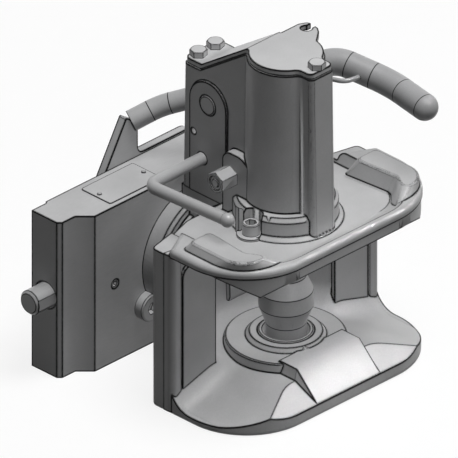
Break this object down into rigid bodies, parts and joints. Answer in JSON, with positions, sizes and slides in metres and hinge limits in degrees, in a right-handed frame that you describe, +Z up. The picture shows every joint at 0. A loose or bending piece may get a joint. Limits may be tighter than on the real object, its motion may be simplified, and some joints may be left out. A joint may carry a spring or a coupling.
{
  "type": "clevis hitch",
  "caption": "Automatic clevis hitch with a drop pin between flared jaws, on a slide that a side lever unlocks from its ladder rails.",
  "frame": {"origin": "on the coupling pin's axis, level with the shank and the lock pins", "axes": "+Z up along the coupling pin, -Y out of the mouth towards the trailer, +X towards the lock lever's grip"},
  "size_m": [0.322, 0.266, 0.3025],
  "materials": {
    "casting": "satin",
    "machined_steel": "satin",
    "ground_steel": "satin",
    "fastener_steel": "satin",
    "spring_steel": "satin",
    "grip": "satin",
    "plate": "satin"
  },
  "bodies": {
    "hitch": {"jaw_casting": "casting", "slide_carriage": "machined_steel", "rear_cover": "machined_steel", "rear_cover_screws": "fastener_steel", "type_plate": "plate", "type_plate_rivets": "plate", "guide_screws": "fastener_steel", "stop_bolts": "fastener_steel", "shank_washer": "fastener_steel", "shank_nut": "fastener_steel", "cotter_pin": "fastener_steel", "pin_seat_bush": "ground_steel", "pin_guide_bush": "ground_steel", "closing_spring": "spring_steel", "tower_cover": "casting", "cover_bolts": "fastener_steel", "latch_shaft": "ground_steel", "flap_hinge_pin": "ground_steel", "side_plug": "fastener_steel", "cap_screw_clip": "fastener_steel", "cap_screw": "fastener_steel"},
    "coupling_pin": {"coupling_pin": "ground_steel"},
    "hand_lever": {"hand_lever": "ground_steel", "lift_arm": "machined_steel"},
    "lock_lever": {"lock_lever_plate": "machined_steel", "crank_pins": "ground_steel", "lock_lever_bar": "ground_steel", "lock_lever_grip": "grip", "wire_loop": "fastener_steel"},
    "left_lock_pin": {"left_lock_pin": "ground_steel", "left_pin_yoke": "machined_steel", "left_yoke_screw": "fastener_steel"},
    "right_lock_pin": {"right_lock_pin": "ground_steel", "right_pin_yoke": "machined_steel", "right_yoke_screw": "fastener_steel"},
    "trigger_flap": {"trigger_flap": "machined_steel"},
    "latch": {"latch_pawl": "machined_steel"}
  },
  "joints": [
    {"name": "pin_lift", "type": "slide", "parent": "hitch", "child": "coupling_pin", "axis": [0, 0, 1], "range_m": [0, 0.095], "stiffness_N_per_m": 600, "springref_m": -0.03, "deforming": ["closing_spring"]},
    {"name": "hand_lever_turn", "type": "hinge", "parent": "hitch", "child": "hand_lever", "pos_m": [0, 0.073, 0.1045], "axis": [-1, 0, 0], "range_deg": [0, 81.3]},
    {"name": "lock_lever_turn", "type": "hinge", "parent": "hitch", "child": "lock_lever", "pos_m": [0, 0, 0], "axis": [0, 1, 0], "range_deg": [0, 25.4], "stiffness_Nm_per_rad": 2, "springref_deg": -34.38},
    {"name": "left_pin_pull", "type": "slide", "parent": "hitch", "child": "left_lock_pin", "axis": [1, 0, 0], "range_m": [0, 0.022]},
    {"name": "right_pin_pull", "type": "slide", "parent": "hitch", "child": "right_lock_pin", "axis": [-1, 0, 0], "range_m": [0, 0.022]},
    {"name": "flap_swing", "type": "hinge", "parent": "hitch", "child": "trigger_flap", "pos_m": [0, 0.06, 0.07], "axis": [-1, 0, 0], "range_deg": [0, 12]},
    {"name": "latch_turn", "type": "hinge", "parent": "hitch", "child": "latch", "pos_m": [0, 0.0667, 0.1565], "axis": [1, 0, 0], "range_deg": [0, 4.2]}
  ],
  "couplings": [
    {"joint": "hand_lever_turn", "follows": "pin_lift", "rad_per_m": 14.92},
    {"joint": "left_pin_pull", "follows": "lock_lever_turn", "m_per_rad": 0.0496},
    {"joint": "right_pin_pull", "follows": "lock_lever_turn", "m_per_rad": 0.0496},
    {"joint": "latch_turn", "follows": "flap_swing", "ratio": 0.339}
  ]
}
